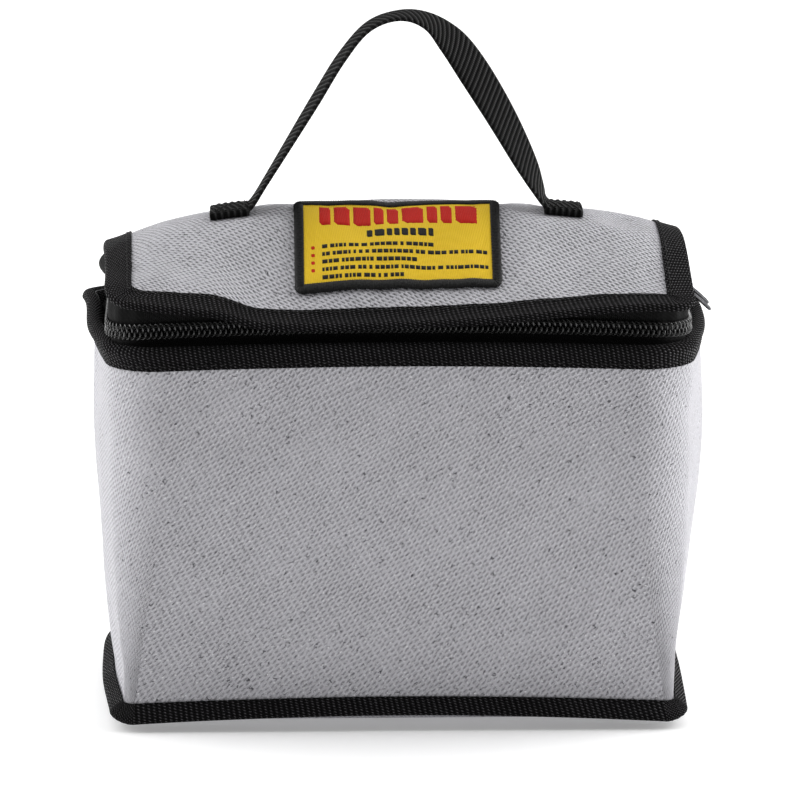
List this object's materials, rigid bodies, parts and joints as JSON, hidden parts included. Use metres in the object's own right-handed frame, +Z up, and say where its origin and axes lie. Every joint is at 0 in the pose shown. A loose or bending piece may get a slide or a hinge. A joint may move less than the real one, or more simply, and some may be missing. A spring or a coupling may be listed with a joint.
{
  "type": "lipo safe bag",
  "caption": "Boxy grey fire-resistant fabric bag with black bound edges, a domed hinged lid, a recessed coil zipper and a webbing carry handle.",
  "frame": {"origin": "on the surface the bag stands on, at the middle of the base", "axes": "+X to the bag's right, -Y out of the front panel, +Z up"},
  "size_m": [0.2302, 0.1208, 0.2511],
  "materials": {
    "outer_fabric": "coated glass-fibre cloth, light cool grey",
    "foam": "closed-cell foam board",
    "lining": "plain woven lining cloth",
    "binding_tape": "black woven twill tape",
    "zipper_tape": "black knitted zipper tape",
    "zipper_coil": "black nylon coil",
    "webbing": "black ribbed polypropylene webbing",
    "label_cloth": "woven yellow patch cloth",
    "label_thread": "black overlock thread",
    "sewing_thread": "black sewing thread",
    "zipper_metal": "dark gunmetal plating"
  },
  "bodies": {
    "bag_body": {"outer_wall": "outer_fabric", "front_foam_board": "foam", "back_foam_board": "foam", "left_foam_board": "foam", "right_foam_board": "foam", "wall_lining": "lining", "base_fabric": "outer_fabric", "base_foam_board": "foam", "base_lining": "lining", "base_binding": "binding_tape", "rim_binding": "binding_tape", "lower_zipper_tape": "zipper_tape", "lower_zipper_coil": "zipper_coil", "zipper_end_stops": "zipper_metal", "back_hinge_strip": "binding_tape"},
    "lid": {"lid_fabric": "outer_fabric", "lid_foam_board": "foam", "lid_lining": "lining", "lid_binding": "binding_tape", "upper_zipper_tape": "zipper_tape", "upper_zipper_coil": "zipper_coil", "label_patch": "label_cloth", "label_border": "label_thread", "left_handle_end": "webbing", "right_handle_end": "webbing", "handle_stitching": "sewing_thread"},
    "handle": {"handle_strap": "webbing"},
    "slider_front": {"front_slider": "zipper_metal"},
    "pull_front": {"front_slider_pull": "zipper_metal"},
    "slider_rear": {"rear_slider": "zipper_metal"},
    "pull_rear": {"rear_slider_pull": "zipper_metal"}
  },
  "joints": [
    {"name": "lid_hinge", "type": "hinge", "parent": "bag_body", "child": "lid", "pos_m": [0, 0.05015, 0.15], "axis": [-1, 0, 0], "range_deg": [0, 135]},
    {"name": "handle_swing", "type": "hinge", "parent": "lid", "child": "handle", "pos_m": [0, 0, 0.1855], "axis": [1, 0, 0], "range_deg": [-80, 80]},
    {"name": "front_slider_travel", "type": "slide", "parent": "bag_body", "child": "slider_front", "axis": [0, -1, 0], "range_m": [0, 0.046]},
    {"name": "rear_slider_travel", "type": "slide", "parent": "bag_body", "child": "slider_rear", "axis": [0, 1, 0], "range_m": [0, 0.012]},
    {"name": "front_pull_swing", "type": "hinge", "parent": "slider_front", "child": "pull_front", "pos_m": [0.1083, 0.014, 0.145], "axis": [0, -1, 0], "range_deg": [0, 115]},
    {"name": "rear_pull_swing", "type": "hinge", "parent": "slider_rear", "child": "pull_rear", "pos_m": [0.1083, 0.025, 0.145], "axis": [0, -1, 0], "range_deg": [0, 115]}
  ]
}
